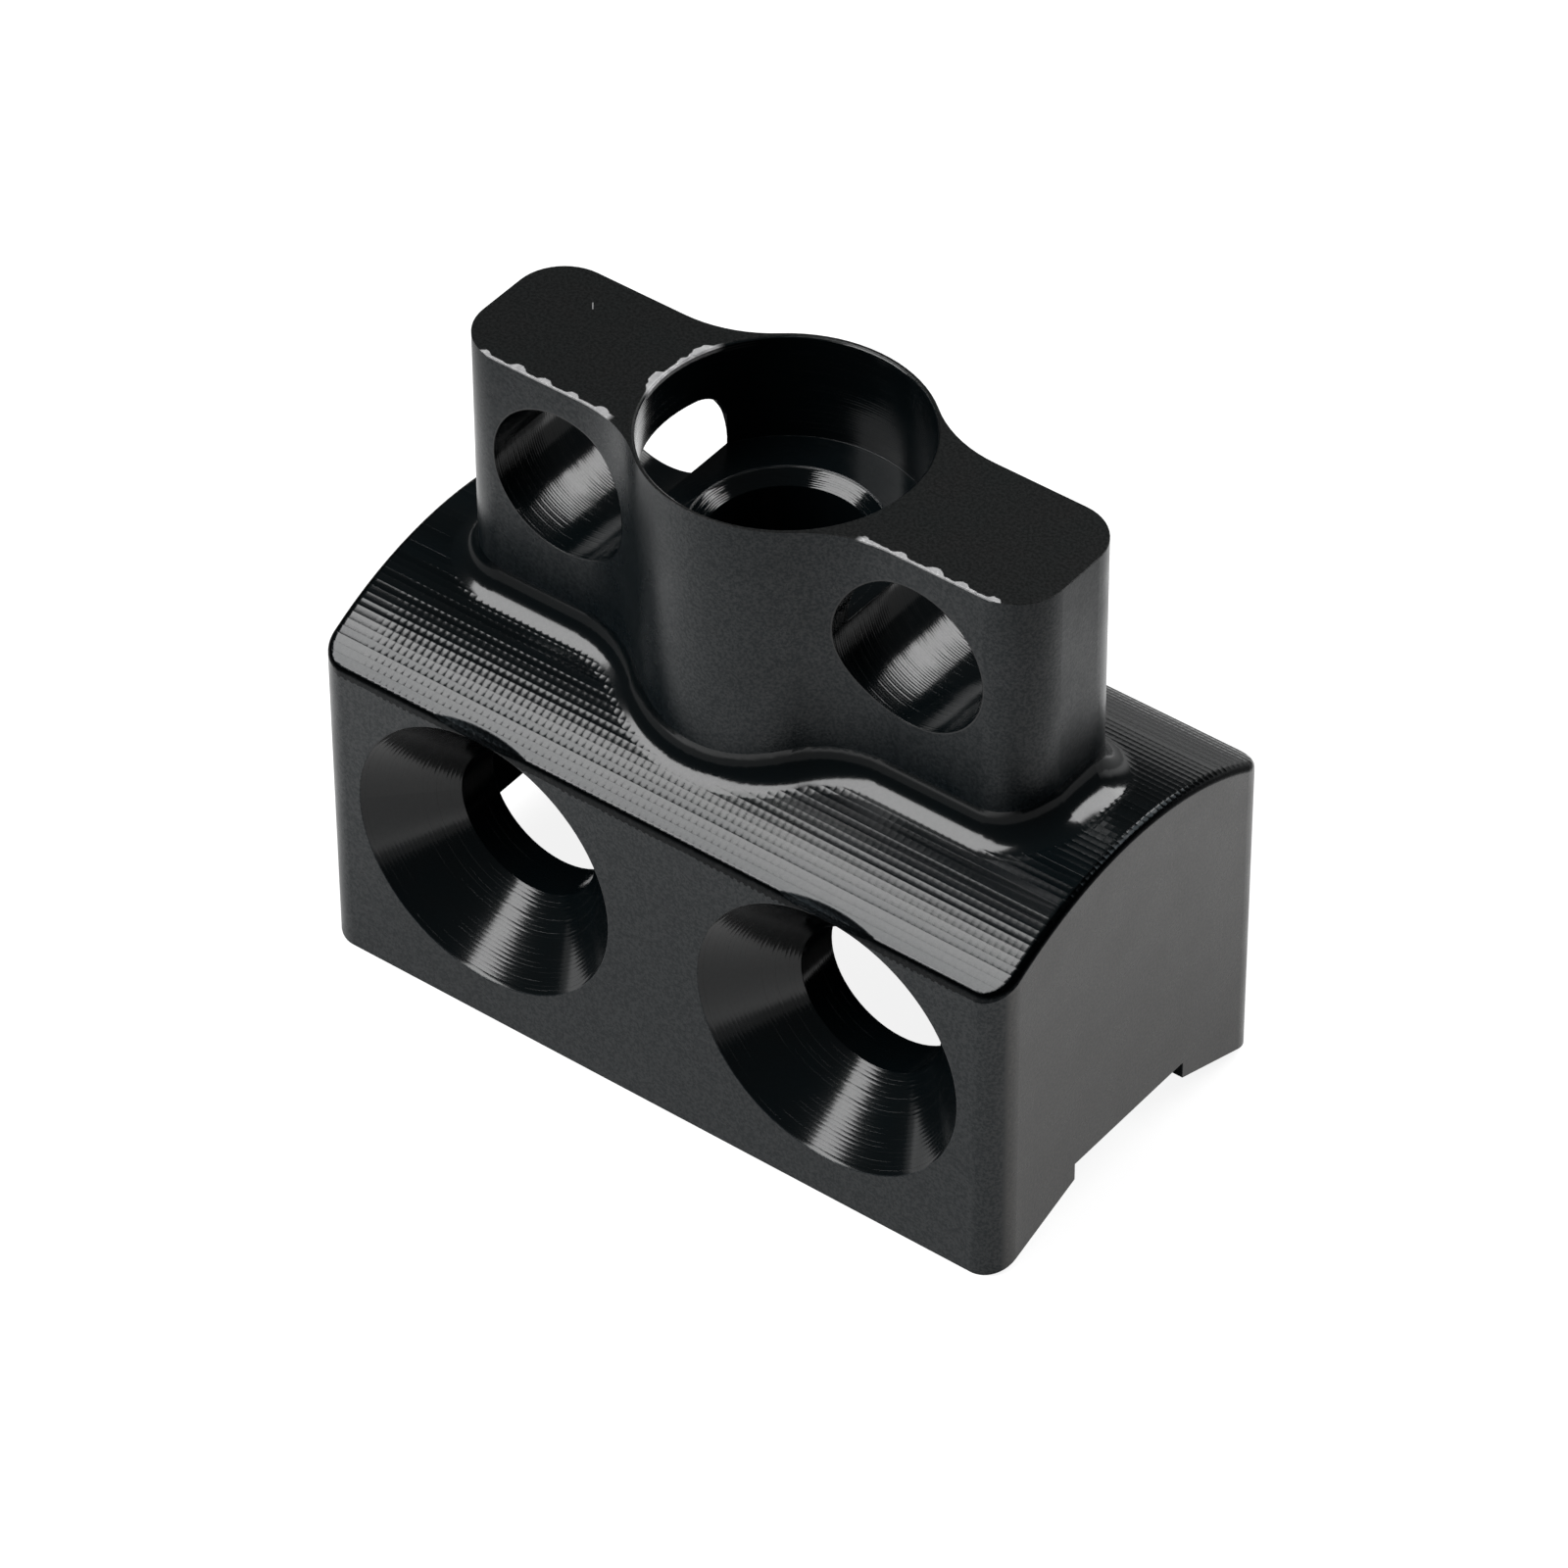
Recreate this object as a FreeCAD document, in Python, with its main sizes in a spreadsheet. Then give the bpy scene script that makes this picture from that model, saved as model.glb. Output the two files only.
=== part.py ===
import FreeCAD, Part
import math
import os
import Sketcher

# Saddle block: one piece milled from black anodised aluminium bar.  A block with a
# crowned top carries a tall boss with two ears; a wide bore runs down the boss, a
# cross hole passes each ear and two countersunk screw holes enter the front face.
# X runs along the block, Y from front to back, Z up from the feet.

doc = FreeCAD.newDocument("saddle_block")

sizes = doc.addObject("Spreadsheet::Sheet", "sizes")
SIZES = [
    ("block_length", 40.0),
    ("block_depth", 20.8),
    ("edge_height", 17.6),
    ("crown_rise", 3.2),
    ("block_corner_radius", 1.5),
    ("edge_round_radius", 0.45),
    ("foot_slope_angle", 19.2),
    ("groove_width", 8.6),
    ("groove_height", 3.1),
    ("cavity_length", 35.0),
    ("cavity_width", 9.2),
    ("cavity_height", 15.4),
    ("cavity_corner_radius", 2.0),
    ("boss_top_height", 34.3),
    ("ear_span", 33.1),
    ("ear_width", 7.84),
    ("ear_corner_radius", 2.55),
    ("hub_blend_radius", 6.8),
    ("boss_base_radius", 1.8),
    ("bore_diameter", 13.8),
    ("bore_wall", 0.225),
    ("bore_depth", 5.9),
    ("bore_chamfer", 0.1),
    ("bore_window_depth", 0.4),
    ("bore_window_width", 6.7),
    ("bore_window_height", 3.15),
    ("bore_window_corner_radius", 1.5),
    ("lower_bore_diameter", 8.0),
    ("lower_bore_sink_width", 0.75),
    ("lower_bore_sink_depth", 0.63),
    ("cross_hole_diameter", 8.0),
    ("cross_hole_height", 28.7),
    ("cross_hole_spacing", 20.1),
    ("screw_hole_diameter", 8.1),
    ("screw_hole_height", 9.9),
    ("screw_hole_spacing", 20.25),
    ("countersink_diameter", 15.0),
    ("countersink_angle", 90.0),
    ("lip_relief_width", 6.5),
    ("lip_relief_drop", 0.25),
    ("lip_relief_slope", 50.0),
]
for row, (alias, value) in enumerate(SIZES, start=1):
    sizes.set("A%d" % row, alias)
    sizes.set("B%d" % row, str(value))
    sizes.setAlias("B%d" % row, alias)
doc.recompute()

# How far a cutter runs past the face it enters.
OVERRUN = 1.0
# The length of the leaning cutter that makes a lip relief, half of it below the lip.
RELIEF_CUTTER_LENGTH = 4.0
# Edges round the boss's foot: five along each side and three round each ear end.
FOOT_EDGES = 2 * 5 + 2 * 3


def val(alias):
    """The value of one named size."""
    return float(sizes.get(alias))


body = doc.addObject("PartDesign::Body", "saddle_block")
body.Label = "saddle_block"


def origin_plane(role):
    """The body's own plane with this role."""
    for item in body.Origin.OriginFeatures:
        if item.Role == role:
            return item
    raise RuntimeError("no origin plane " + role)


def new_sketch(name, role):
    """A sketch lying flat on one of the body's planes."""
    sketch = body.newObject("Sketcher::SketchObject", name)
    sketch.AttachmentSupport = [(origin_plane(role), "")]
    sketch.MapMode = "FlatFace"
    return sketch


def polygon(sketch, points):
    """Closed loop of lines through the points; returns the line numbers."""
    count = len(points)
    ids = []
    for i in range(count):
        start = FreeCAD.Vector(points[i][0], points[i][1], 0)
        end = FreeCAD.Vector(points[(i + 1) % count][0], points[(i + 1) % count][1], 0)
        ids.append(sketch.addGeometry(Part.LineSegment(start, end), False))
    for i in range(count):
        sketch.addConstraint(Sketcher.Constraint("Coincident", ids[i], 2, ids[(i + 1) % count], 1))
    return ids


def size_constraint(sketch, kind, args, expression):
    """A driving dimension held by an expression on the sheet."""
    index = sketch.addConstraint(Sketcher.Constraint(kind, *args))
    sketch.setExpression("Constraints[%d]" % index, expression)
    return index


def centred_rectangle(sketch, width, height, width_rule, height_rule):
    """A rectangle centred on the sketch origin with both sides driven."""
    w, d = width / 2, height / 2
    ids = polygon(sketch, [(-w, -d), (w, -d), (w, d), (-w, d)])
    sketch.addConstraint(Sketcher.Constraint("Horizontal", ids[0]))
    sketch.addConstraint(Sketcher.Constraint("Vertical", ids[1]))
    sketch.addConstraint(Sketcher.Constraint("Horizontal", ids[2]))
    sketch.addConstraint(Sketcher.Constraint("Vertical", ids[3]))
    sketch.addConstraint(Sketcher.Constraint("Symmetric", ids[0], 1, ids[1], 2, -1, 1))
    size_constraint(sketch, "DistanceX", (ids[0], 1, ids[0], 2, width), width_rule)
    size_constraint(sketch, "DistanceY", (ids[1], 1, ids[1], 2, height), height_rule)
    return ids


def centred_circle(sketch, radius, rule):
    """A circle on the sketch origin with its radius driven."""
    circle = Part.Circle(FreeCAD.Vector(0, 0, 0), FreeCAD.Vector(0, 0, 1), radius)
    ring = sketch.addGeometry(circle, False)
    sketch.addConstraint(Sketcher.Constraint("Coincident", ring, 3, -1, 1))
    size_constraint(sketch, "Radius", (ring, radius), rule)
    return ring


def picked_edges(shape, test):
    """Names of the shape's edges that pass the test."""
    return ["Edge%d" % (i + 1) for i, edge in enumerate(shape.Edges) if test(edge)]


def on_line(edge, axis):
    """True for a straight edge running along X (0), Y (1) or Z (2)."""
    if edge.Curve.TypeId != "Part::GeomLine":
        return False
    return abs(abs(edge.tangentAt(edge.FirstParameter)[axis]) - 1) < 1e-6


def middle(edge):
    """The point half way along an edge."""
    return edge.valueAt((edge.FirstParameter + edge.LastParameter) / 2)


def dressed(kind, name, base, edges, prop, rule, expected):
    """A fillet or chamfer on the named edges of a feature."""
    if len(edges) != expected:
        raise RuntimeError("%s: %d edges, not %d" % (name, len(edges), expected))
    feature = body.newObject("PartDesign::" + kind, name)
    feature.Base = (base, edges)
    feature.setExpression(prop, rule)
    doc.recompute()
    return feature


def checked_cut(feature, before):
    """Turns a pocket or groove round if it took nothing away."""
    doc.recompute()
    if feature.Shape.isNull() or feature.Shape.Volume > before.Shape.Volume - 1e-3:
        feature.Reversed = not feature.Reversed
        doc.recompute()
    if feature.Shape.Volume > before.Shape.Volume - 1e-3:
        raise RuntimeError(feature.Name + " cuts nothing")
    return feature


# Block: the end profile with its crowned top, drawn across Y and pulled along X.
depth = val("block_depth")
edge_height = val("edge_height")
crown_rise = val("crown_rise")
crown_height = edge_height + crown_rise
crown_radius = (crown_rise ** 2 + (depth / 2) ** 2) / (2 * crown_rise)
crown_centre = crown_height - crown_radius
profile = new_sketch("end_profile", "YZ_Plane")
half = depth / 2
floor = profile.addGeometry(
    Part.LineSegment(FreeCAD.Vector(-half, 0, 0), FreeCAD.Vector(half, 0, 0)), False)
right = profile.addGeometry(
    Part.LineSegment(FreeCAD.Vector(half, 0, 0), FreeCAD.Vector(half, edge_height, 0)), False)
swing = math.atan2(edge_height - crown_centre, half)
crown_circle = Part.Circle(FreeCAD.Vector(0, crown_centre, 0), FreeCAD.Vector(0, 0, 1), crown_radius)
crown = profile.addGeometry(Part.ArcOfCircle(crown_circle, swing, math.pi - swing), False)
left = profile.addGeometry(
    Part.LineSegment(FreeCAD.Vector(-half, edge_height, 0), FreeCAD.Vector(-half, 0, 0)), False)
profile.addConstraint(Sketcher.Constraint("Coincident", floor, 2, right, 1))
profile.addConstraint(Sketcher.Constraint("Coincident", right, 2, crown, 1))
profile.addConstraint(Sketcher.Constraint("Coincident", crown, 2, left, 1))
profile.addConstraint(Sketcher.Constraint("Coincident", left, 2, floor, 1))
profile.addConstraint(Sketcher.Constraint("Vertical", right))
profile.addConstraint(Sketcher.Constraint("Vertical", left))
profile.addConstraint(Sketcher.Constraint("Symmetric", floor, 1, floor, 2, -1, 1))
profile.addConstraint(Sketcher.Constraint("PointOnObject", crown, 3, -2))
size_constraint(profile, "DistanceX", (floor, 1, floor, 2, depth), "sizes.block_depth")
size_constraint(profile, "DistanceY", (right, 1, right, 2, edge_height), "sizes.edge_height")
size_constraint(profile, "Radius", (crown, crown_radius),
                "(sizes.crown_rise^2 + (sizes.block_depth / 2)^2) / (2 * sizes.crown_rise)")
block = body.newObject("PartDesign::Pad", "block")
block.Profile = profile
block.setExpression("Length", "sizes.block_length")
block.SideType = "Symmetric"
doc.recompute()

corners = picked_edges(block.Shape, lambda e: on_line(e, 2))
block_corners = dressed("Fillet", "block_corners", block, corners, "Radius",
                        "sizes.block_corner_radius", 4)


def on_top_outline(edge):
    """True for the edges where the crown meets the block's sides."""
    if on_line(edge, 2):
        return False
    return edge.BoundBox.ZMin > edge_height - 1e-3


outline = picked_edges(block_corners.Shape, on_top_outline)
block_edges = dressed("Fillet", "block_edges", block_corners, outline, "Radius",
                      "sizes.edge_round_radius", 8)

# Boss: two ears in one flat bar with rounded corners, and the round hub between them,
# which leaves a thin wall round the bore.
ears_sketch = new_sketch("ears_outline", "XY_Plane")
centred_rectangle(ears_sketch, val("ear_span"), val("ear_width"), "sizes.ear_span", "sizes.ear_width")
ears = body.newObject("PartDesign::Pad", "ears")
ears.Profile = ears_sketch
ears.setExpression("Length", "sizes.boss_top_height")
doc.recompute()
ear_end = val("ear_span") / 2
ear_corners = dressed("Fillet", "ear_corners", ears,
                      picked_edges(ears.Shape, lambda e: on_line(e, 2)
                                   and abs(abs(middle(e).x) - ear_end) < 1e-3),
                      "Radius", "sizes.ear_corner_radius", 4)
hub_sketch = new_sketch("hub_outline", "XY_Plane")
hub_radius = val("bore_diameter") / 2 + val("bore_wall")
centred_circle(hub_sketch, hub_radius, "sizes.bore_diameter / 2 + sizes.bore_wall")
hub = body.newObject("PartDesign::Pad", "hub")
hub.Profile = hub_sketch
hub.setExpression("Length", "sizes.boss_top_height")
doc.recompute()
ear_side = val("ear_width") / 2
hub_blends = dressed("Fillet", "hub_blends", hub,
                     picked_edges(hub.Shape, lambda e: on_line(e, 2)
                                  and abs(abs(middle(e).y) - ear_side) < 1e-3
                                  and abs(middle(e).x) < hub_radius),
                     "Radius", "sizes.hub_blend_radius", 4)


def at_boss_foot(edge):
    """True for the edges where the boss walls meet the crown."""
    box = edge.BoundBox
    inside = max(abs(box.XMin), abs(box.XMax)) < ear_end + 0.1
    inside = inside and max(abs(box.YMin), abs(box.YMax)) < hub_radius + 0.1
    return inside and box.ZMax < crown_height + 1e-3 and box.ZMin > edge_height


boss_foot = dressed("Fillet", "boss_foot", hub_blends,
                    picked_edges(hub_blends.Shape, at_boss_foot),
                    "Radius", "sizes.boss_base_radius", FOOT_EDGES)

# Saddle underside: two sloped feet either side of a flat-roofed groove along X.
saddle = new_sketch("saddle_profile", "YZ_Plane")
groove = val("groove_width") / 2
roof = val("groove_height")
slope = math.tan(math.radians(val("foot_slope_angle")))
inner = (half - groove) * slope
outer = -OVERRUN * slope
points = [(-half - OVERRUN, outer), (-groove, inner), (-groove, roof), (groove, roof),
          (groove, inner), (half + OVERRUN, outer), (half + OVERRUN, -OVERRUN),
          (-half - OVERRUN, -OVERRUN)]
ids = polygon(saddle, points)
for i in (1, 3, 5, 7):
    saddle.addConstraint(Sketcher.Constraint("Vertical", ids[i]))
for i in (2, 6):
    saddle.addConstraint(Sketcher.Constraint("Horizontal", ids[i]))
saddle.addConstraint(Sketcher.Constraint("Symmetric", ids[1], 1, ids[3], 2, -2))
saddle.addConstraint(Sketcher.Constraint("Symmetric", ids[5], 1, ids[7], 2, -2))
size_constraint(saddle, "DistanceX", (ids[2], 1, ids[2], 2, 2 * groove), "sizes.groove_width")
size_constraint(saddle, "DistanceY", (-1, 1, ids[2], 1, roof), "sizes.groove_height")
size_constraint(saddle, "DistanceY", (-1, 1, ids[1], 1, inner),
                "(sizes.block_depth - sizes.groove_width) / 2 * tan(sizes.foot_slope_angle * 1deg)")
size_constraint(saddle, "DistanceX", (ids[6], 2, ids[6], 1, depth + 2 * OVERRUN),
                "sizes.block_depth + %s" % (2 * OVERRUN))
size_constraint(saddle, "DistanceY", (ids[6], 1, -1, 1, OVERRUN), str(OVERRUN))
size_constraint(saddle, "DistanceY", (ids[5], 1, -1, 1, -outer),
                "%s * tan(sizes.foot_slope_angle * 1deg)" % OVERRUN)
saddle_cut = body.newObject("PartDesign::Pocket", "saddle_cut")
saddle_cut.Profile = saddle
saddle_cut.SideType = "Symmetric"
saddle_cut.setExpression("Length", "sizes.block_length + %s" % (2 * OVERRUN))
checked_cut(saddle_cut, boss_foot)

# Cavity: a round-cornered recess milled up into the block between the feet.
cavity_sketch = new_sketch("cavity_outline", "XY_Plane")
centred_rectangle(cavity_sketch, val("cavity_length"), val("cavity_width"),
                  "sizes.cavity_length", "sizes.cavity_width")
cavity = body.newObject("PartDesign::Pocket", "cavity")
cavity.Profile = cavity_sketch
cavity.Reversed = True
cavity.setExpression("Length", "sizes.cavity_height")
checked_cut(cavity, saddle_cut)
cavity_end = val("cavity_length") / 2
cavity_side = val("cavity_width") / 2
cavity_corners = dressed("Fillet", "cavity_corners", cavity,
                         picked_edges(cavity.Shape, lambda e: on_line(e, 2)
                                      and abs(abs(middle(e).x) - cavity_end) < 1e-3
                                      and abs(abs(middle(e).y) - cavity_side) < 1e-3),
                         "Radius", "sizes.cavity_corner_radius", 4)

# Bore: a wide seat from the top of the hub, then a narrower hole down into the cavity.
bore_sketch = new_sketch("bore_outline", "XY_Plane")
bore_sketch.setExpression(".AttachmentOffset.Base.z", "sizes.boss_top_height")
centred_circle(bore_sketch, val("bore_diameter") / 2, "sizes.bore_diameter / 2")
bore = body.newObject("PartDesign::Pocket", "bore")
bore.Profile = bore_sketch
bore.setExpression("Length", "sizes.bore_depth")
checked_cut(bore, cavity_corners)
lower_sketch = new_sketch("lower_bore_outline", "XY_Plane")
lower_sketch.setExpression(".AttachmentOffset.Base.z", "sizes.boss_top_height")
centred_circle(lower_sketch, val("lower_bore_diameter") / 2, "sizes.lower_bore_diameter / 2")
lower_bore = body.newObject("PartDesign::Pocket", "lower_bore")
lower_bore.Profile = lower_sketch
lower_bore.Type = "Length"
lower_bore.setExpression(
    "Length", "sizes.boss_top_height - (sizes.groove_height + sizes.cavity_height) / 2")
checked_cut(lower_bore, bore)

# Sink: the shallow cone that leads from the seat into the lower bore.
seat = val("boss_top_height") - val("bore_depth")
lower_radius = val("lower_bore_diameter") / 2


def at_lower_mouth(edge):
    """True for the edge where the lower bore leaves the seat."""
    return (edge.Curve.TypeId == "Part::GeomCircle"
            and abs(edge.Curve.Radius - lower_radius) < 1e-3
            and abs(edge.BoundBox.ZMin - seat) < 1e-3)


lower_sink = dressed("Chamfer", "lower_bore_sink", lower_bore,
                     picked_edges(lower_bore.Shape, at_lower_mouth),
                     "Size", "sizes.lower_bore_sink_width", 1)
lower_sink.ChamferType = "Two distances"
lower_sink.FlipDirection = True
lower_sink.setExpression("Size2", "sizes.lower_bore_sink_depth")
doc.recompute()

# Windows: round-topped reliefs in the bore wall where the cross holes break into it.
ceiling = seat + val("bore_window_height")
side = val("bore_window_width") / 2
round_off = val("bore_window_corner_radius")
window_sketch = new_sketch("bore_window_outline", "YZ_Plane")
sill = window_sketch.addGeometry(
    Part.LineSegment(FreeCAD.Vector(-side, seat, 0), FreeCAD.Vector(side, seat, 0)), False)
jamb = window_sketch.addGeometry(
    Part.LineSegment(FreeCAD.Vector(side, seat, 0), FreeCAD.Vector(side, ceiling - round_off, 0)), False)
turn = Part.Circle(FreeCAD.Vector(side - round_off, ceiling - round_off, 0),
                   FreeCAD.Vector(0, 0, 1), round_off)
corner = window_sketch.addGeometry(Part.ArcOfCircle(turn, 0, math.pi / 2), False)
head = window_sketch.addGeometry(
    Part.LineSegment(FreeCAD.Vector(side - round_off, ceiling, 0),
                     FreeCAD.Vector(round_off - side, ceiling, 0)), False)
turn = Part.Circle(FreeCAD.Vector(round_off - side, ceiling - round_off, 0),
                   FreeCAD.Vector(0, 0, 1), round_off)
far_corner = window_sketch.addGeometry(Part.ArcOfCircle(turn, math.pi / 2, math.pi), False)
far_jamb = window_sketch.addGeometry(
    Part.LineSegment(FreeCAD.Vector(-side, ceiling - round_off, 0), FreeCAD.Vector(-side, seat, 0)), False)
window_sketch.addConstraint(Sketcher.Constraint("Coincident", sill, 2, jamb, 1))
window_sketch.addConstraint(Sketcher.Constraint("Coincident", far_jamb, 2, sill, 1))
window_sketch.addConstraint(Sketcher.Constraint("Tangent", jamb, 2, corner, 1))
window_sketch.addConstraint(Sketcher.Constraint("Tangent", corner, 2, head, 1))
window_sketch.addConstraint(Sketcher.Constraint("Tangent", head, 2, far_corner, 1))
window_sketch.addConstraint(Sketcher.Constraint("Tangent", far_corner, 2, far_jamb, 1))
window_sketch.addConstraint(Sketcher.Constraint("Vertical", jamb))
window_sketch.addConstraint(Sketcher.Constraint("Vertical", far_jamb))
window_sketch.addConstraint(Sketcher.Constraint("Horizontal", head))
window_sketch.addConstraint(Sketcher.Constraint("Equal", corner, far_corner))
window_sketch.addConstraint(Sketcher.Constraint("Symmetric", sill, 1, sill, 2, -2))
size_constraint(window_sketch, "DistanceX", (sill, 1, sill, 2, 2 * side), "sizes.bore_window_width")
size_constraint(window_sketch, "DistanceY", (-1, 1, sill, 2, seat),
                "sizes.boss_top_height - sizes.bore_depth")
size_constraint(window_sketch, "DistanceY", (sill, 2, head, 1, ceiling - seat),
                "sizes.bore_window_height")
size_constraint(window_sketch, "Radius", (corner, round_off), "sizes.bore_window_corner_radius")
windows = body.newObject("PartDesign::Pocket", "bore_windows")
windows.Profile = window_sketch
windows.SideType = "Symmetric"
windows.setExpression("Length", "sizes.bore_diameter + 2 * sizes.bore_window_depth")
checked_cut(windows, lower_sink)

bore_radius = val("bore_diameter") / 2
top = val("boss_top_height")
bore_rim = dressed("Chamfer", "bore_rim", windows,
                   picked_edges(windows.Shape, lambda e: e.Curve.TypeId == "Part::GeomCircle"
                                and abs(e.Curve.Radius - bore_radius) < 1e-3
                                and e.BoundBox.ZMin > top - 1e-3),
                   "Size", "sizes.bore_chamfer", 1)

# Cross hole through the right ear, front to back.
cross_sketch = new_sketch("cross_hole_outline", "XZ_Plane")
cross_sketch.setExpression(".AttachmentOffset.Base.x", "sizes.cross_hole_spacing / 2")
cross_sketch.setExpression(".AttachmentOffset.Base.y", "sizes.cross_hole_height")
centred_circle(cross_sketch, val("cross_hole_diameter") / 2, "sizes.cross_hole_diameter / 2")
cross_hole = body.newObject("PartDesign::Pocket", "cross_hole")
cross_hole.Profile = cross_sketch
cross_hole.SideType = "Symmetric"
cross_hole.setExpression("Length", "sizes.ear_width + %s" % (2 * OVERRUN))
checked_cut(cross_hole, bore_rim)

# Countersunk screw hole in the front face, through into the cavity and out at the back.
screw_sketch = new_sketch("screw_hole_profile", "XY_Plane")
screw_sketch.setExpression(".AttachmentOffset.Base.x", "sizes.screw_hole_spacing / 2")
screw_sketch.setExpression(".AttachmentOffset.Base.z", "sizes.screw_hole_height")
hole_radius = val("screw_hole_diameter") / 2
sink_radius = val("countersink_diameter") / 2
flare = math.tan(math.radians(val("countersink_angle") / 2))
sink_depth = (sink_radius - hole_radius) / flare
mouth = sink_radius + OVERRUN * flare
points = [(0, -half - OVERRUN), (mouth, -half - OVERRUN), (hole_radius, -half + sink_depth),
          (hole_radius, half + OVERRUN), (0, half + OVERRUN)]
ids = polygon(screw_sketch, points)
screw_sketch.addConstraint(Sketcher.Constraint("Horizontal", ids[0]))
screw_sketch.addConstraint(Sketcher.Constraint("Vertical", ids[2]))
screw_sketch.addConstraint(Sketcher.Constraint("Horizontal", ids[3]))
screw_sketch.addConstraint(Sketcher.Constraint("PointOnObject", ids[0], 1, -2))
screw_sketch.addConstraint(Sketcher.Constraint("PointOnObject", ids[3], 2, -2))
size_constraint(screw_sketch, "DistanceY", (ids[0], 1, -1, 1, half + OVERRUN),
                "sizes.block_depth / 2 + %s" % OVERRUN)
size_constraint(screw_sketch, "DistanceY", (-1, 1, ids[3], 2, half + OVERRUN),
                "sizes.block_depth / 2 + %s" % OVERRUN)
size_constraint(screw_sketch, "DistanceX", (ids[0], 1, ids[0], 2, mouth),
                "sizes.countersink_diameter / 2 + %s * tan(sizes.countersink_angle / 2 * 1deg)" % OVERRUN)
size_constraint(screw_sketch, "DistanceX", (ids[3], 2, ids[3], 1, hole_radius),
                "sizes.screw_hole_diameter / 2")
size_constraint(screw_sketch, "DistanceY", (ids[2], 1, -1, 1, half - sink_depth),
                "sizes.block_depth / 2 - (sizes.countersink_diameter - sizes.screw_hole_diameter) / 2"
                " / tan(sizes.countersink_angle / 2 * 1deg)")
screw_hole = body.newObject("PartDesign::Groove", "screw_hole")
screw_hole.Profile = screw_sketch
screw_hole.ReferenceAxis = (screw_sketch, ["V_Axis"])
screw_hole.Angle = 360.0
checked_cut(screw_hole, cross_hole)

# Lip relief: a shallow slanting scallop in the front edge above the countersink.
# The cutter leans back over the block; its lowest wall line enters the front face just
# above the countersink's rim, and its radius follows from the width of the scallop.
relief_drop = val("lip_relief_drop") * math.cos(math.radians(val("lip_relief_slope")))
relief_radius = (val("lip_relief_width") ** 2 / 4 + relief_drop ** 2) / (2 * relief_drop)
DROP_RULE = "(sizes.lip_relief_drop * cos(sizes.lip_relief_slope * 1deg))"
RADIUS_RULE = "(sizes.lip_relief_width^2 / 4 + %s^2) / (2 * %s)" % (DROP_RULE, DROP_RULE)
relief_sketch = new_sketch("lip_relief_outline", "XY_Plane")
relief_sketch.AttachmentOffset = FreeCAD.Placement(
    FreeCAD.Vector(0, 0, 0), FreeCAD.Rotation(FreeCAD.Vector(-1, 0, 0), 45))
relief_sketch.setExpression(".AttachmentOffset.Rotation.Angle",
                            "(90 - sizes.lip_relief_slope) * 1deg")
relief_sketch.setExpression(".AttachmentOffset.Base.x", "sizes.screw_hole_spacing / 2")
relief_sketch.setExpression(".AttachmentOffset.Base.y", "-sizes.block_depth / 2")
relief_sketch.setExpression(".AttachmentOffset.Base.z", "sizes.edge_height - sizes.lip_relief_drop")
cutter = Part.Circle(FreeCAD.Vector(0, -relief_radius, 0), FreeCAD.Vector(0, 0, 1), relief_radius)
ring = relief_sketch.addGeometry(cutter, False)
relief_sketch.addConstraint(Sketcher.Constraint("PointOnObject", ring, 3, -2))
size_constraint(relief_sketch, "DistanceY", (ring, 3, -1, 1, relief_radius), RADIUS_RULE)
size_constraint(relief_sketch, "Radius", (ring, relief_radius), RADIUS_RULE)
doc.recompute()
relief = body.newObject("PartDesign::Pocket", "lip_relief")
relief.Profile = relief_sketch
relief.SideType = "Symmetric"
relief.Length = RELIEF_CUTTER_LENGTH
checked_cut(relief, screw_hole)

mirrored = body.newObject("PartDesign::Mirrored", "left_side")
mirrored.Originals = [cross_hole, screw_hole, relief]
mirrored.MirrorPlane = (origin_plane("YZ_Plane"), [""])
body.Tip = mirrored
doc.recompute()

for item in doc.Objects:
    if "Invalid" in item.State or "Error" in item.State:
        raise RuntimeError("%s: %s" % (item.Name, item.State))
if body.Shape.isNull() or not body.Shape.isValid() or len(body.Shape.Solids) != 1:
    raise RuntimeError("the block is not one sound solid")

os.makedirs("parts", exist_ok=True)
body.Shape.exportStep("parts/saddle_block.step")
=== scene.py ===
import math

import bpy
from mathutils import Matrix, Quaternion, Vector

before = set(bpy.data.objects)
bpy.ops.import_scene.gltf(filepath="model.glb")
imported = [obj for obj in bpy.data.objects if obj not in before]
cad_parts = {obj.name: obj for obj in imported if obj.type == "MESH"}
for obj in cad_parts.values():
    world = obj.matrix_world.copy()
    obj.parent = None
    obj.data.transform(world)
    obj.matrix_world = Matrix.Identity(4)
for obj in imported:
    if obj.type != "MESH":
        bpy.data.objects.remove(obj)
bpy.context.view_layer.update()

# ---------------------------------------------------------------------------------------
# Saddle block: one piece milled from aluminium bar and black anodised after machining.
# The crown and the foot of the boss are ball milled and glossy, the walls are satin from
# fine blasting, and the drilled holes keep the drill's and countersink's feed rings.
# ---------------------------------------------------------------------------------------

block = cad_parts["saddle_block"]

anodised = bpy.data.materials.new("black_anodised_milled")
anodised.use_nodes = True
bench = anodised.node_tree.nodes
wires = anodised.node_tree.links
bench.clear()


def feed(socket, value):
    """Joins a node's result to a socket, or sets the socket to a plain value."""
    if isinstance(value, bpy.types.NodeSocket):
        wires.new(value, socket)
    else:
        socket.default_value = value


def sum_of(rule, *values):
    """One step of arithmetic."""
    node = bench.new("ShaderNodeMath")
    node.operation = rule
    for socket, value in zip(node.inputs, values):
        feed(socket, value)
    return node.outputs[0]


def add(first, *others):
    for other in others:
        first = sum_of("ADD", first, other)
    return first


def take(first, second):
    return sum_of("SUBTRACT", first, second)


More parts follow.
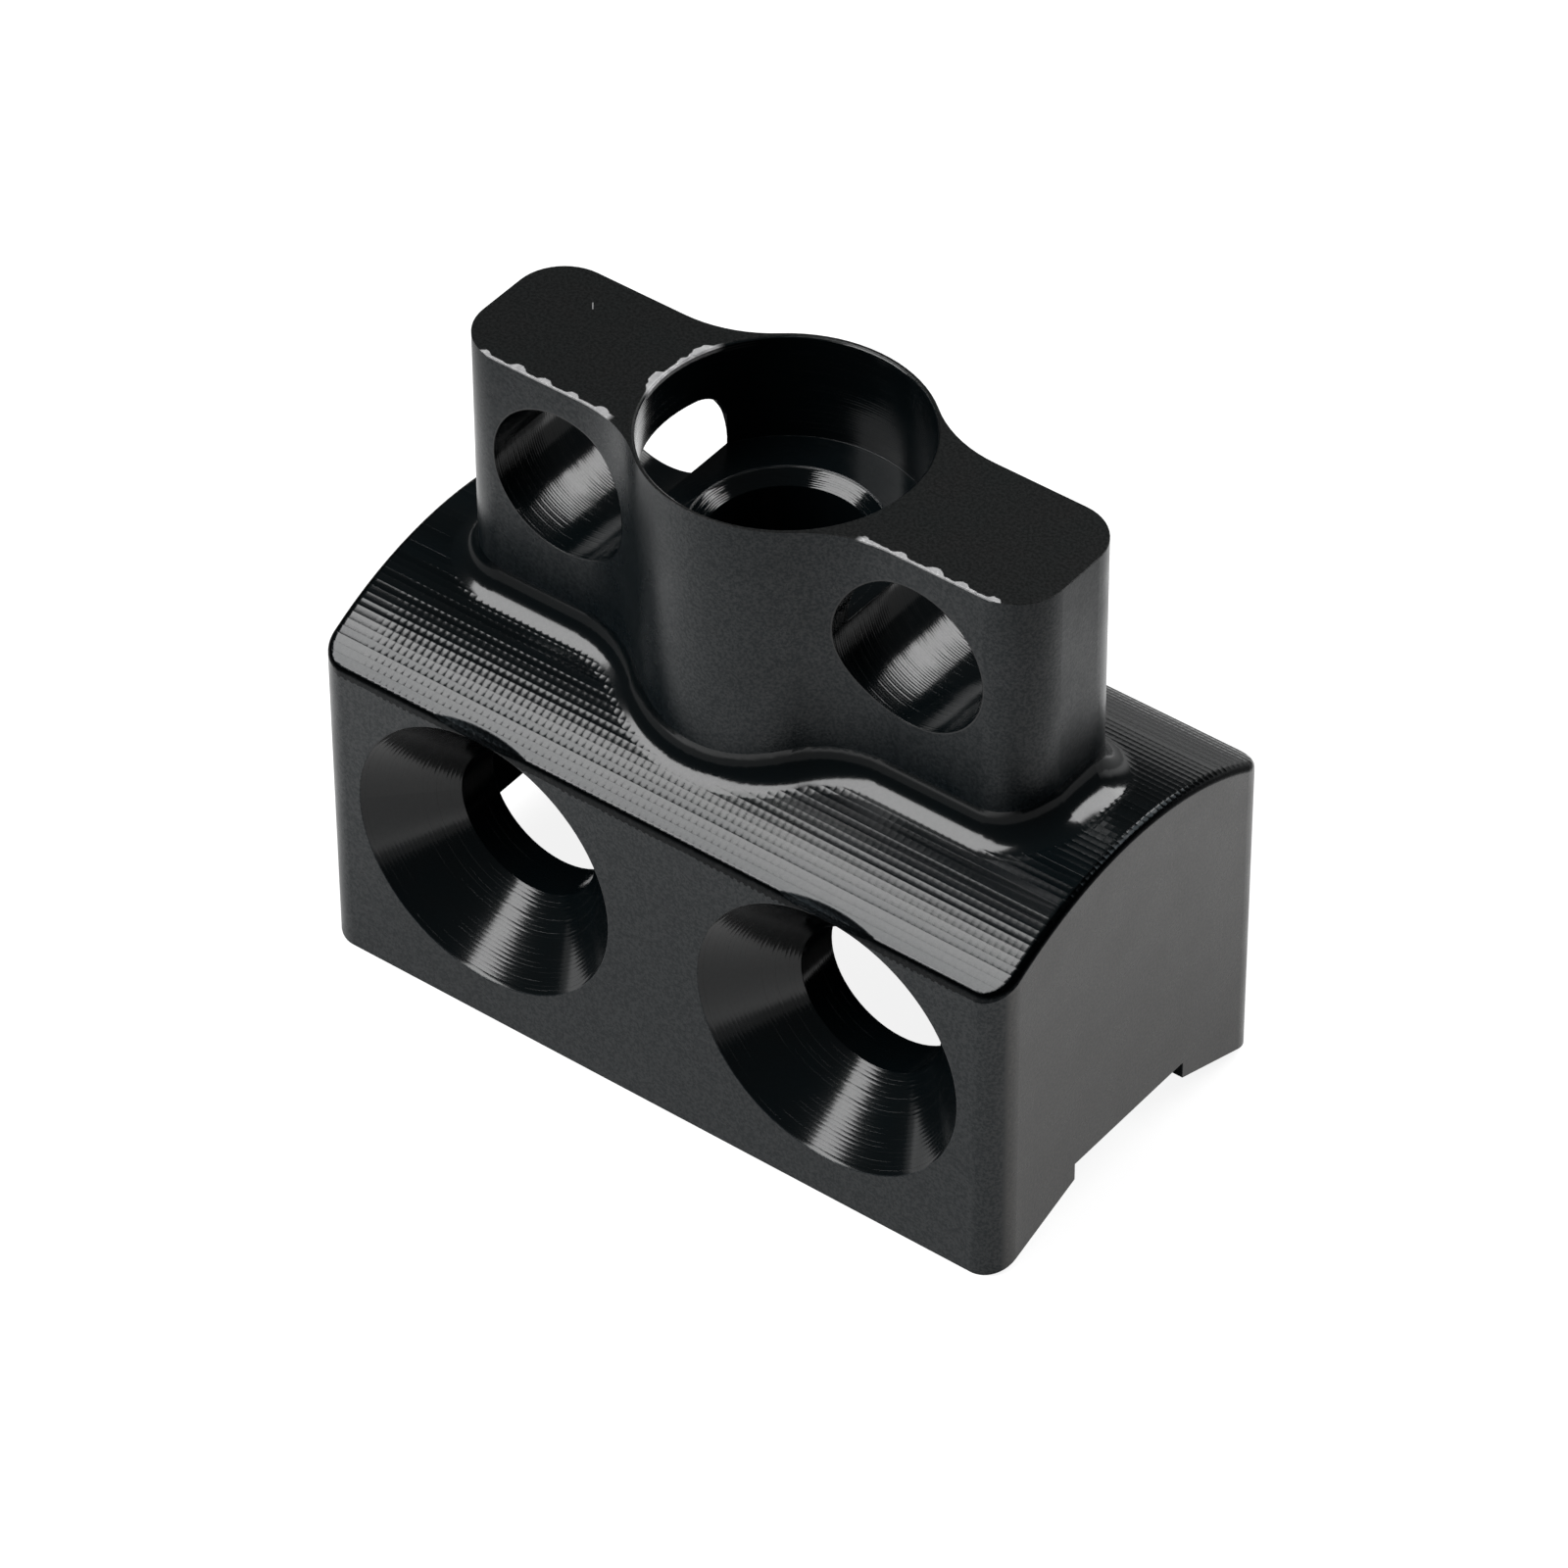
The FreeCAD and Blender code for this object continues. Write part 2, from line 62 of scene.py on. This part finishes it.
def times(first, *others):
    for other in others:
        first = sum_of("MULTIPLY", first, other)
    return first


def size_of(value):
    return sum_of("ABSOLUTE", value)


def ramp(value, low, high, bottom=0.0, top=1.0):
    """Eases from bottom to top while the value goes from low to high."""
    node = bench.new("ShaderNodeMapRange")
    node.interpolation_type = "SMOOTHSTEP"
    feed(node.inputs["Value"], value)
    feed(node.inputs["From Min"], low)
    feed(node.inputs["From Max"], high)
    feed(node.inputs["To Min"], bottom)
    feed(node.inputs["To Max"], top)
    return node.outputs["Result"]


def any_of(*shares):
    """In full wherever one of these is."""
    return sum_of("MINIMUM", add(*shares), 1.0)


def reach(first, second):
    """Distance from an axis, from the two measures square to it."""
    return sum_of("SQRT", add(times(first, first), times(second, second)))


def parts_of(vector):
    node = bench.new("ShaderNodeSeparateXYZ")
    wires.new(vector, node.inputs[0])
    return node.outputs


def vector_of(x, y, z):
    node = bench.new("ShaderNodeCombineXYZ")
    feed(node.inputs[0], x)
    feed(node.inputs[1], y)
    feed(node.inputs[2], z)
    return node.outputs[0]


def mottle(where, scale, detail=2.0, rough=0.5):
    """Soft random patches, from 0 to 1, with this many to the millimetre."""
    node = bench.new("ShaderNodeTexNoise")
    wires.new(where, node.inputs["Vector"])
    node.inputs["Scale"].default_value = scale
    node.inputs["Detail"].default_value = detail
    node.inputs["Roughness"].default_value = rough
    return node.outputs["Fac"]


def chance(number):
    """A random value from 0 to 1 for each whole number."""
    node = bench.new("ShaderNodeTexWhiteNoise")
    node.noise_dimensions = "1D"
    feed(node.inputs["W"], number)
    return node.outputs["Value"]


def varied(share, least, more):
    """The least at a share of 0, and this much more at a share of 1."""
    return add(least, times(share, more))


def across(repeats):
    """How far a place is from the middle of its repeat, from -0.5 to 0.5."""
    return take(sum_of("FRACT", repeats), 0.5)


def blend(share, first, second):
    """A value that goes from the first to the second as the share goes from 0 to 1."""
    node = bench.new("ShaderNodeMix")
    node.data_type = "FLOAT"
    feed(node.inputs[0], share)
    feed(node.inputs[2], first)
    feed(node.inputs[3], second)
    return node.outputs[0]


def tint(share, first, second):
    """The same for two colours."""
    node = bench.new("ShaderNodeMix")
    node.data_type = "RGBA"
    feed(node.inputs[0], share)
    feed(node.inputs[6], first)
    feed(node.inputs[7], second)
    return node.outputs[2]


# The block's own millimetres, and the way each face looks.
MM_PER_METRE = 1000.0
object_place = bench.new("ShaderNodeTexCoord")
in_mm = bench.new("ShaderNodeVectorMath")
in_mm.operation = "SCALE"
wires.new(object_place.outputs["Object"], in_mm.inputs[0])
in_mm.inputs["Scale"].default_value = MM_PER_METRE
place = in_mm.outputs[0]
x, y, z = parts_of(place)
side = size_of(x)
face = bench.new("ShaderNodeNewGeometry")
face_x, _, face_z = parts_of(face.outputs["Normal"])

# Where each machining step has left its own surface. In a pair, the surface is absent at the
# first number and in full at the second, in millimetres or, for FACING, as the face's slope.
# Where two more numbers follow, they are the values at those two places.
CROWN_RADIUS = 18.5
CROWN_CENTRE = 2.3
CROWN_FROM_ABOVE = (0.035, 0.012)
CROWN_FROM_BELOW = (-0.12, -0.06)
FACING_UP = (0.6, 0.7)
above_crown = take(reach(y, take(z, CROWN_CENTRE)), CROWN_RADIUS)
looks_up = ramp(face_z, *FACING_UP)
on_crown = times(ramp(above_crown, *CROWN_FROM_ABOVE), ramp(above_crown, *CROWN_FROM_BELOW), looks_up)

CROSS_HOLE_SIDE = 10.05
CROSS_HOLE_HEIGHT = 28.7
CROSS_HOLE_RADIUS = 4.0
CROSS_HOLE_SKIN = (0.10, 0.04)
CROSS_HOLE_ENDS = (4.9, 4.8)
from_cross_hole = reach(take(side, CROSS_HOLE_SIDE), take(z, CROSS_HOLE_HEIGHT))
in_cross_hole = times(ramp(size_of(take(from_cross_hole, CROSS_HOLE_RADIUS)), *CROSS_HOLE_SKIN),
                      ramp(size_of(y), *CROSS_HOLE_ENDS))

SCREW_HOLE_SIDE = 10.125
SCREW_HOLE_HEIGHT = 9.9
COUNTERSINK_RIM = (7.49, 7.44)
COUNTERSINK_FRONT = (-10.39, -10.36)
SCREW_HOLE_BACK = (-4.6, -4.7)
from_screw_hole = reach(take(side, SCREW_HOLE_SIDE), take(z, SCREW_HOLE_HEIGHT))
in_countersink = times(ramp(from_screw_hole, *COUNTERSINK_RIM), ramp(y, *COUNTERSINK_FRONT),
                       ramp(y, *SCREW_HOLE_BACK))

BOSS_TOP = 34.3
BELOW_TOP = (BOSS_TOP - 0.02, BOSS_TOP - 0.06)
SEAT = 28.4
BORE_WALL = (7.05, 6.98)
ABOVE_SEAT = (SEAT - 0.1, SEAT + 0.05)
SINK_RADIUS = 4.75
SINK_WALL = (SINK_RADIUS + 0.08, SINK_RADIUS + 0.03)
BELOW_SEAT = (SEAT - 0.02, SEAT - 0.08)
LOWER_BORE_END = (15.0, 16.0)
from_bore = reach(x, y)
in_bore = times(ramp(from_bore, *BORE_WALL), ramp(z, *ABOVE_SEAT), ramp(z, *BELOW_TOP))
in_lower_bore = times(ramp(from_bore, *SINK_WALL), ramp(z, *BELOW_SEAT), ramp(z, *LOWER_BORE_END))
drilled = any_of(in_cross_hole, in_countersink, in_bore, in_lower_bore)

AT_TOP = (BOSS_TOP - 0.06, BOSS_TOP - 0.02)
FOOT_UPPER_EDGE = (22.9, 22.4)
FOOT_LOWER_EDGE = (18.0, 18.4)
FACING_OUT_AND_UP = (0.03, 0.12)
FOOT_ENDS = (19.2, 18.8)
on_top = ramp(z, *AT_TOP)
at_foot = times(ramp(z, *FOOT_UPPER_EDGE), ramp(z, *FOOT_LOWER_EDGE), ramp(face_z, *FACING_OUT_AND_UP),
                take(1.0, on_crown), ramp(side, *FOOT_ENDS))

# Mill lines: the ball cutter went to and fro along the block, 0.36 mm further back each
# time, and left a row of shallow dimples where its teeth bit. The dimples of a row start a
# little further on than the last row's. They begin past the left end and get weaker on the
# right, and all the marks run out before the fillet at the foot of the boss.
LINE_PITCH = 0.365
BITE_PITCH = 0.395
LINE_HEIGHT = 0.0086
BITE_HEIGHT = 0.0078
STREAK_HEIGHT = 0.0012
STREAKS_ALONG = 0.12
STREAKS_ACROSS = 3.0
STREAK_SCALE = 4.0
ROW_SHIFT = 0.08
ROW_SCATTER = 0.22
LINE_DEPTHS = (0.55, 0.9)
FIRST_BITES = (-18.6, -16.5)
LAST_BITES = (9.0, 3.0, 0.45, 1.0)
MARKS_FROM_ABOVE = (0.07, 0.01)
MARKS_FROM_BELOW = (-0.34, -0.03)


def scallop(from_middle, height):
    """A round-bottomed groove one repeat wide, at the surface's own level on average."""
    mean_square = 1 / 12
    return times(take(times(from_middle, from_middle), mean_square), 4 * height)


line_place = times(y, 1 / LINE_PITCH)
line_number = sum_of("FLOOR", line_place)
line_luck = chance(line_number)
bite_place = add(times(x, 1 / BITE_PITCH), times(line_number, ROW_SHIFT), times(line_luck, ROW_SCATTER))
bite_share = times(ramp(x, *FIRST_BITES), ramp(x, *LAST_BITES))
line_shape = times(scallop(across(line_place), LINE_HEIGHT), varied(line_luck, *LINE_DEPTHS))
bite_shape = times(scallop(across(bite_place), BITE_HEIGHT), bite_share)
streak_place = vector_of(times(x, STREAKS_ALONG), times(y, STREAKS_ACROSS), 0.0)
streak = times(mottle(streak_place, STREAK_SCALE), STREAK_HEIGHT)
run_out = times(ramp(above_crown, *MARKS_FROM_ABOVE), ramp(above_crown, *MARKS_FROM_BELOW), looks_up)
mill_marks = times(add(line_shape, bite_shape, streak), run_out)

# Feed rings: the drill, countersink and boring tool leave fine rings round their axis, some
# deeper than others and none quite even.
RING_PITCH = 0.15
RING_HEIGHT = 0.0022
RING_DEPTHS = (0.3, 1.4)
WOBBLE_SCALE = 0.8
WOBBLE = 0.10
along_tool = blend(any_of(in_bore, in_lower_bore), y, add(z, from_bore))
ring_wobble = times(mottle(place, WOBBLE_SCALE), WOBBLE)
ring_place = add(times(along_tool, 1 / RING_PITCH), ring_wobble)
ring_luck = chance(sum_of("FLOOR", ring_place))
across_ring = across(ring_place)
ring_marks = times(across_ring, across_ring, 4 * RING_HEIGHT, varied(ring_luck, *RING_DEPTHS), drilled)

# Satin grain of the blasted walls, with a trace of it left on the milled and drilled faces.
GRAIN_HEIGHT = 0.006
GRAIN_SCALE = 7.0
GRAIN_TRACE = 0.12
grain = mottle(place, GRAIN_SCALE, 3.0, 0.6)
satin = take(1.0, any_of(drilled, on_crown, at_foot))
grain_marks = times(grain, GRAIN_HEIGHT, add(satin, GRAIN_TRACE))

# Chips along the upper front edges of both ears, where the anodised skin has broken away and
# the bare metal shows: one bulge to each pitch, with a ragged edge.
EAR_FRONT = -3.92
CHIP_PITCH = 1.7
CHIP_MIDDLES = (0.35, 0.3)
CHIP_HALF_LENGTHS = (0.12, 0.26)
CHIP_HALF_FULL = 0.05
CHIP_WIDTHS = (0.10, 0.20)
RAGGED_SCALE = 3.5
RAGGED_WIDTH = 0.14
CHIP_EDGE = (0.05, -0.02)
CHIP_FLOOR = (BOSS_TOP - 0.35, BOSS_TOP - 0.25)
CHIP_BACK = (-3.3, -3.45)
CHIP_RUNS = (((-15.2, -14.6), (-6.8, -7.4)), ((7.0, 7.6), (15.8, 15.0)))
WALL_CHIP_FLOOR = (BOSS_TOP - 0.14, BOSS_TOP - 0.06)
WALL_CHIP_BACK = (0.06, 0.02)
chip_place = times(x, 1 / CHIP_PITCH)
chip_luck = chance(sum_of("FLOOR", chip_place))
across_chip = size_of(take(sum_of("FRACT", chip_place), varied(chip_luck, *CHIP_MIDDLES)))
chip_bulge = ramp(across_chip, varied(chip_luck, *CHIP_HALF_LENGTHS), CHIP_HALF_FULL,
                  0.0, varied(chip_luck, *CHIP_WIDTHS))
chip_edge = times(mottle(vector_of(x, y, 0.0), RAGGED_SCALE), RAGGED_WIDTH)
chip_width = add(chip_bulge, chip_edge)
chip_run = add(*[times(ramp(x, *start), ramp(x, *end)) for start, end in CHIP_RUNS])
from_front_edge = take(y, EAR_FRONT)
front_chip = times(ramp(take(from_front_edge, chip_width), *CHIP_EDGE), chip_run,
                   ramp(z, *CHIP_FLOOR), ramp(y, *CHIP_BACK), on_top)
wall_chip = times(ramp(z, *WALL_CHIP_FLOOR), ramp(from_front_edge, *WALL_CHIP_BACK), chip_run)

# The same on the left side of the bore's rim.
BORE_RADIUS = 6.9
RIM_EASE = 0.1
RIM_CHIP_SCALE = 0.7
RIM_CHIP_WIDTHS = (0.46, 0.62, 0.02, 0.34)
RIM_LEFT_SIDE = (-5.9, -6.3)
RIM_FRONT = (-2.0, -1.2)
RIM_BACK = (3.4, 2.8)
rim_width = ramp(mottle(vector_of(0.0, y, 0.0), RIM_CHIP_SCALE), *RIM_CHIP_WIDTHS)
rim_run = times(ramp(x, *RIM_LEFT_SIDE), ramp(y, *RIM_FRONT), ramp(y, *RIM_BACK))
rim_chip = times(ramp(take(from_bore, add(BORE_RADIUS + RIM_EASE, rim_width)), *CHIP_EDGE), rim_run,
                 ramp(z, *CHIP_FLOOR))
chipped = any_of(front_chip, wall_chip, rim_chip)

# The rolled edge round the crown gets a painted shade: a darker black with its shine dulled,
# standing in for the dark it mirrors. The cutter's teeth ran out over the front edge and left
# a comb of short ticks below it, here and there, which notch the lower edge of this painted shade.
TICK_LENGTH = 0.09
TICK_SIDES = (0.18, 0.32)
TICK_RUN_SCALE = 0.25
TICK_RUNS = (0.40, 0.55)
TICK_FRONT = (-10.3, -10.38)
EDGE_SHADE_LOWER_EDGE = (-0.42, -0.38)
EDGE_SHADE_UPPER_EDGE = (-0.01, -0.03)
across_tick = size_of(across(times(x, 1 / BITE_PITCH)))
tick_run = times(ramp(mottle(vector_of(x, 0.0, 0.0), TICK_RUN_SCALE), *TICK_RUNS), ramp(y, *TICK_FRONT))
tick = times(ramp(across_tick, *TICK_SIDES), tick_run, TICK_LENGTH)
painted_edge_shade = times(ramp(add(above_crown, tick), *EDGE_SHADE_LOWER_EDGE),
                  ramp(above_crown, *EDGE_SHADE_UPPER_EDGE))

# A short nick in the top of the left ear, at a slant across it.
NICK_SIDE = -12.66
NICK_BACK = 1.86
NICK_WAY = (0.61, -0.79)
NICK_ENDS = (0.30, 0.18)
NICK_SIDES = (0.04, 0.01)
NICK_STRENGTH = 0.7
nick_x = take(x, NICK_SIDE)
nick_y = take(y, NICK_BACK)
nick_along = add(times(nick_x, NICK_WAY[0]), times(nick_y, NICK_WAY[1]))
nick_across = add(times(nick_x, -NICK_WAY[1]), times(nick_y, NICK_WAY[0]))
nicked = times(ramp(size_of(nick_along), *NICK_ENDS), ramp(size_of(nick_across), *NICK_SIDES), on_top,
               NICK_STRENGTH)
worn_through = any_of(chipped, nicked)

# The colour: black skin, a little blue on the front, neutral on top, on the ends a lighter
# speckled grey that is painted light for the brighter light they catch, a painted shade of
# darker black on the rolled edge round the crown, and light grey metal where it has worn through.
WALL_BLACKS = ((0.0020, 0.0055, 0.0075, 1.0), (0.0060, 0.0085, 0.0100, 1.0))
GLOSSY_BLACKS = ((0.0010, 0.0030, 0.0040, 1.0), (0.0025, 0.0032, 0.0034, 1.0))
TOP_BLACKS = ((0.0030, 0.0050, 0.0050, 1.0), (0.0050, 0.0045, 0.0045, 1.0))
END_GREYS_PAINTED_LIGHT = ((0.028, 0.028, 0.0275, 1.0), (0.066, 0.064, 0.061, 1.0))
PAINTED_EDGE_SHADE_BLACK = (0.0010, 0.0020, 0.0026, 1.0)
BARE_GREYS = ((0.26, 0.26, 0.27, 1.0), (0.50, 0.50, 0.50, 1.0))
PATCH_SCALE = 0.35
SPECKLE_SCALE = 6.5
SPECKLE = (0.36, 0.64)
BARE_SCALE = 3.0
BLOCK_ENDS = (19.6, 19.9)
FACING_ENDWAYS = (0.8, 0.95)
surface = bench.new("ShaderNodeBsdfPrincipled")
patches = mottle(place, PATCH_SCALE, 3.0, 0.6)
speckle = ramp(mottle(place, SPECKLE_SCALE, 2.0, 0.7), *SPECKLE)
skin = tint(satin, tint(patches, *GLOSSY_BLACKS), tint(patches, *WALL_BLACKS))
skin = tint(on_top, skin, tint(patches, *TOP_BLACKS))
# Painted light: the ends are made a lighter speckled grey for the brighter light they catch.
on_ends = times(ramp(side, *BLOCK_ENDS), ramp(size_of(face_x), *FACING_ENDWAYS))
skin = tint(on_ends, skin, tint(speckle, *END_GREYS_PAINTED_LIGHT))
# Painted shade: the rolled edge round the crown is made a darker black.
skin = tint(painted_edge_shade, skin, PAINTED_EDGE_SHADE_BLACK)
bare = tint(mottle(place, BARE_SCALE), *BARE_GREYS)
feed(surface.inputs["Base Color"], tint(worn_through, skin, bare))

# The shine: a dark metallic share dulls it, in a fine grain on the satin walls, from line to
# line on the crown, and most on the rolled edge round the crown, as painted shade there. The
# gloss of each surface is its own.
GRAIN_DULLNESS = (0.06, 0.40)
LINE_DULLNESS = 0.25
PAINTED_EDGE_SHADE_DULLNESS = 0.75
MOST_DULLNESS = 0.9
BARE_METALLIC = 0.35
dull_grain = times(speckle, varied(satin, *GRAIN_DULLNESS))
dull_lines = times(on_crown, line_luck, LINE_DULLNESS)
dullness = add(dull_grain, dull_lines, times(painted_edge_shade, PAINTED_EDGE_SHADE_DULLNESS))
dullness = sum_of("MINIMUM", dullness, MOST_DULLNESS)
feed(surface.inputs["Metallic"], blend(worn_through, dullness, BARE_METALLIC))

FILLET_GLOSS = 0.13
CROWN_GLOSS = (-9.0, 5.0, 0.13, 0.18)
LOWER_BORE_GLOSS = 0.08
WALL_GLOSS = (0.35, 0.65, 0.26, 0.32)
TOP_GLOSS = 0.38
EDGE_SHADE_GLOSS = 0.18
BARE_GLOSS = 0.45
SKIN_IOR = 1.42
gloss = blend(on_crown, FILLET_GLOSS, ramp(x, *CROWN_GLOSS))
gloss = blend(in_lower_bore, gloss, LOWER_BORE_GLOSS)
gloss = blend(satin, gloss, ramp(patches, *WALL_GLOSS))
gloss = blend(on_top, gloss, TOP_GLOSS)
gloss = blend(painted_edge_shade, gloss, EDGE_SHADE_GLOSS)
feed(surface.inputs["Roughness"], blend(worn_through, gloss, BARE_GLOSS))
surface.inputs["IOR"].default_value = SKIN_IOR

# The relief: lightly broken edges, and on them all the tool marks, in millimetres.
EDGE_BREAK = 0.06
EDGE_SAMPLES = 6
CHIP_DEPTH = 0.05
CHIP_ROUGHNESS = 0.06
worn_edge = bench.new("ShaderNodeBevel")
worn_edge.samples = EDGE_SAMPLES
worn_edge.inputs["Radius"].default_value = EDGE_BREAK / MM_PER_METRE
relief = bench.new("ShaderNodeBump")
relief.inputs["Strength"].default_value = 1.0
relief.inputs["Distance"].default_value = 1 / MM_PER_METRE
chip_relief = times(chipped, varied(mottle(place, RAGGED_SCALE), -CHIP_DEPTH, CHIP_ROUGHNESS))
feed(relief.inputs["Height"], add(mill_marks, ring_marks, grain_marks, chip_relief))
feed(relief.inputs["Normal"], worn_edge.outputs["Normal"])
feed(surface.inputs["Normal"], relief.outputs["Normal"])
outside = bench.new("ShaderNodeOutputMaterial")
wires.new(surface.outputs["BSDF"], outside.inputs["Surface"])

for holder in block.material_slots:
    holder.material = anodised

# ---------------------------------------------------------------------------------------
# Table: a plain white sheet that the block stands on, wide enough to fill the view. It
# looks white to the eye and takes the block's shadow. In the block's gloss it is white
# only close round the block, with a painted shadow under the block and painted shade, a
# little darker, right beside it.
# ---------------------------------------------------------------------------------------

# In metres from the middle of the table, where the block stands.
TABLE_RADIUS = 6.0
TABLE_SIDES = 96
SHEET_GREY = (0.22, 0.22, 0.22, 1.0)
WHITE_LIFT = 0.88
CLEAR_OF_ENDS = (0.0185, 0.0205)
CLEAR_OF_SIDES = (0.0090, 0.0108)
MIRRORED_EDGE = (0.062, 0.046)
PAINTED_SHADE_BESIDE_BLOCK = (0.018, 0.042, 0.66, 1.08)

rim = [(TABLE_RADIUS * math.cos(turn), TABLE_RADIUS * math.sin(turn), 0.0)
       for turn in (2 * math.pi * i / TABLE_SIDES for i in range(TABLE_SIDES))]
table_mesh = bpy.data.meshes.new("white_table")
table_mesh.from_pydata(rim, [], [range(TABLE_SIDES)])
table = bpy.data.objects.new("white_table", table_mesh)
bpy.context.scene.collection.objects.link(table)

sheet = bpy.data.materials.new("white_sheet")
sheet.use_nodes = True
bench = sheet.node_tree.nodes
wires = sheet.node_tree.links
bench.clear()
matt = bench.new("ShaderNodeBsdfDiffuse")
matt.inputs["Color"].default_value = SHEET_GREY
lift = bench.new("ShaderNodeEmission")
rays = bench.new("ShaderNodeLightPath")
sheet_place = bench.new("ShaderNodeTexCoord")
sheet_x, sheet_y, _ = parts_of(sheet_place.outputs["Object"])
from_middle = reach(sheet_x, sheet_y)
# Painted shadow: under the block its gloss sees no white.
beside_block = sum_of("MAXIMUM", ramp(size_of(sheet_x), *CLEAR_OF_ENDS),
                      ramp(size_of(sheet_y), *CLEAR_OF_SIDES))
near_block = times(ramp(from_middle, *MIRRORED_EDGE), beside_block)
in_gloss = sum_of("MAXIMUM", rays.outputs["Is Glossy Ray"], rays.outputs["Is Transmission Ray"])
# Painted shade: right beside the block its gloss sees the table a little darker.
mirrored = times(in_gloss, near_block, ramp(from_middle, *PAINTED_SHADE_BESIDE_BLOCK))
seen = sum_of("MAXIMUM", rays.outputs["Is Camera Ray"], mirrored)
feed(lift.inputs["Strength"], times(seen, WHITE_LIFT))
both = bench.new("ShaderNodeAddShader")
wires.new(matt.outputs["BSDF"], both.inputs[0])
wires.new(lift.outputs["Emission"], both.inputs[1])
outside = bench.new("ShaderNodeOutputMaterial")
wires.new(both.outputs["Shader"], outside.inputs["Surface"])
table_mesh.materials.append(sheet)

# ---------------------------------------------------------------------------------------
# Studio: two large soft boxes high up, one on the left and one behind on the right, in a
# dim room with a pale backdrop low down behind the block.
# ---------------------------------------------------------------------------------------

# The lamps' distance is in metres. The backdrop's edges are parts of a direction one long.
LAMP_DISTANCE = 3.0
ROOM_GREY = (0.05, 0.05, 0.05, 1.0)
BACKDROP_GREY = (0.8, 0.8, 0.8, 1.0)
BACKDROP_TOP = (0.30, 0.10)
BACKDROP_SIDES = (0.66, 0.86)


def way_to(bearing, height):
    """The way from the block to a bearing, from the front round to the right, and a height."""
    bearing = math.radians(bearing)
    height = math.radians(height)
    level = math.cos(height)
    return Vector((math.sin(bearing) * level, -math.cos(bearing) * level, math.sin(height)))


def soft_box(name, bearing, height, width, tall, brightness):
    """A lamp this wide and tall in degrees, as the block sees it, which faces the block."""
    way = way_to(bearing, height)
    lamp = bpy.data.lights.new(name, "AREA")
    lamp.shape = "RECTANGLE"
    lamp.size = 2 * LAMP_DISTANCE * math.tan(math.radians(width / 2))
    lamp.size_y = 2 * LAMP_DISTANCE * math.tan(math.radians(tall / 2))
    lamp.energy = brightness * math.pi * lamp.size * lamp.size_y
    holder = bpy.data.objects.new(name, lamp)
    holder.location = way * LAMP_DISTANCE
    holder.rotation_mode = "QUATERNION"
    holder.rotation_quaternion = (-way).to_track_quat("-Z", "Y")
    bpy.context.scene.collection.objects.link(holder)


soft_box("left_soft_box", bearing=-41.0, height=50.0, width=35.0, tall=35.0, brightness=10.0)
soft_box("back_soft_box", bearing=160.0, height=45.0, width=44.0, tall=20.0, brightness=10.0)

room = bpy.data.worlds.new("studio_room")
room.use_nodes = True
bench = room.node_tree.nodes
wires = room.node_tree.links
bench.clear()
direction = bench.new("ShaderNodeTexCoord")
_, direction_y, direction_z = parts_of(direction.outputs["Generated"])
walls = bench.new("ShaderNodeBackground")
on_backdrop = times(ramp(direction_z, *BACKDROP_TOP), ramp(direction_y, *BACKDROP_SIDES))
feed(walls.inputs["Color"], tint(on_backdrop, ROOM_GREY, BACKDROP_GREY))
walls.inputs["Strength"].default_value = 1.0
outside = bench.new("ShaderNodeOutputWorld")
wires.new(walls.outputs["Background"], outside.inputs["Surface"])
bpy.context.scene.world = room

# ---------------------------------------------------------------------------------------
# Camera: looks down on the block from the front right through a long lens, and is tilted
# a little off the level. Its angles are in degrees, its lens in millimetres and its place
# in metres.
# ---------------------------------------------------------------------------------------

CAMERA_BEARING = 37.672
CAMERA_HEIGHT = 41.62
CAMERA_TILT = -0.329
CAMERA_PLACE = (0.19101, -0.24770, 0.29081)
SENSOR_WIDTH = 36.0
LENS_LENGTH = 204.58
NEAREST = 0.02
FURTHEST = 50.0

lens = bpy.data.cameras.new("long_lens")
lens.sensor_width = SENSOR_WIDTH
lens.lens = LENS_LENGTH
lens.clip_start = NEAREST
lens.clip_end = FURTHEST
camera = bpy.data.objects.new("camera", lens)
camera.location = CAMERA_PLACE
camera.rotation_mode = "QUATERNION"
level = (-way_to(CAMERA_BEARING, CAMERA_HEIGHT)).to_track_quat("-Z", "Y")
camera.rotation_quaternion = level @ Quaternion((0, 0, 1), math.radians(CAMERA_TILT))
bpy.context.scene.collection.objects.link(camera)
bpy.context.scene.camera = camera
bpy.context.scene.view_settings.view_transform = "Standard"
